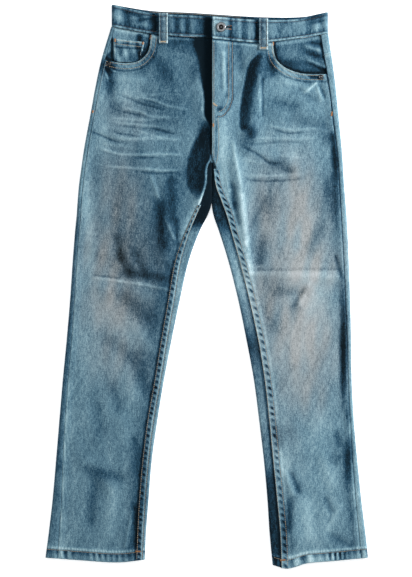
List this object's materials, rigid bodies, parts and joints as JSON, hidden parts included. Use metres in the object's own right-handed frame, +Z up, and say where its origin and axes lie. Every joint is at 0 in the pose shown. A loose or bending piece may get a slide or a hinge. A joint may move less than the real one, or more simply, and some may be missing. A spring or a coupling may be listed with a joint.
{
  "type": "skinny jeans",
  "caption": "Child's skinny jeans in faded mid-blue denim, laid flat front up, with a buttoned waistband, fly, belt loops, curved front pockets, coin pocket and hemmed tapered legs",
  "frame": {"origin": "centre of the garment's outline in X and Y, on the surface it lies on", "axes": "+Y runs up the garment from the hems to the waistband, +X is the wearer's left, +Z is up out of the front of the garment"},
  "size_m": [0.4835, 0.8449, 0.0173],
  "materials": {
    "denim": "washed cotton twill, matt",
    "zip_tape": "woven tape",
    "metal": "aged nickel plating"
  },
  "bodies": {
    "root": {"front_right": "denim", "front_left": "denim", "back_right": "denim", "back_left": "denim", "yoke_right": "denim", "yoke_left": "denim", "waistband": "denim", "pocket_facing_right": "denim", "pocket_facing_left": "denim", "coin_pocket": "denim", "back_pocket_right": "denim", "back_pocket_left": "denim", "hem_right": "denim", "hem_left": "denim", "fly_shield": "denim", "zip": "zip_tape", "belt_loop_right_front": "denim", "belt_loop_left_front": "denim", "belt_loop_right_back": "denim", "belt_loop_centre_back": "denim", "belt_loop_left_back": "denim", "button": "metal", "rivet_left_pocket": "metal", "rivet_right_pocket": "metal"}
  },
  "joints": []
}
